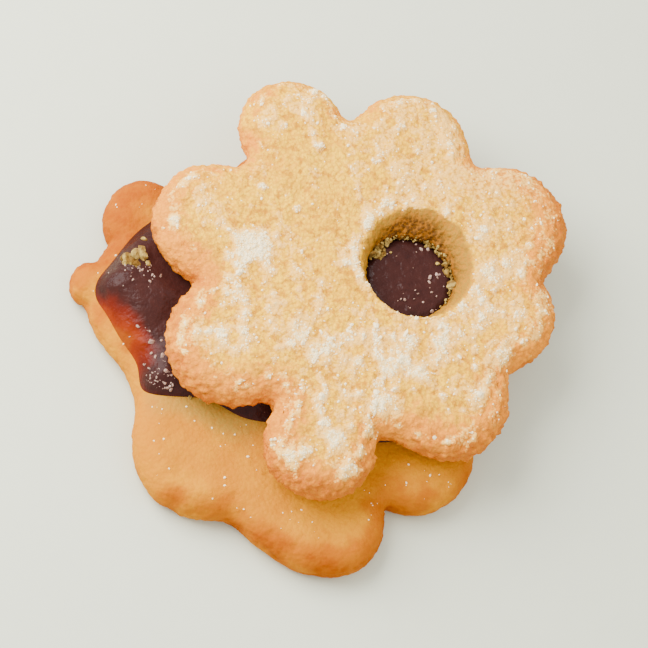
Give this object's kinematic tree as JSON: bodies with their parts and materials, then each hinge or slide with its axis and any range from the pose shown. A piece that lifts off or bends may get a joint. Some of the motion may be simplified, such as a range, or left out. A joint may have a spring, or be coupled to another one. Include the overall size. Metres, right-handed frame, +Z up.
{
  "type": "linzer cookie",
  "caption": "Flower-shaped sandwich cookie: a sugar-dusted biscuit with a round window, red fruit jam showing in it and at one side, and a plain biscuit beneath.",
  "frame": {"origin": "centre of the lower biscuit's flat underside, on the surface that the cookie rests on", "axes": "+Z up through both biscuits; the upper biscuit has slid towards +X and +Y, and most of the jam shows on the -X side"},
  "size_m": [0.076, 0.0771, 0.0145],
  "materials": {
    "base_biscuit": "baked butter dough, smooth and golden, browner at the rim",
    "fruit_jam": "dark red set jam, wet gloss, translucent where it is thin",
    "sugared_biscuit": "pale baked dough, grainy and pinkish brown at the petals, dusted with powdered sugar"
  },
  "bodies": {
    "root": {"base_cookie": "base_biscuit", "jam": "fruit_jam", "top_cookie": "sugared_biscuit"}
  },
  "joints": []
}
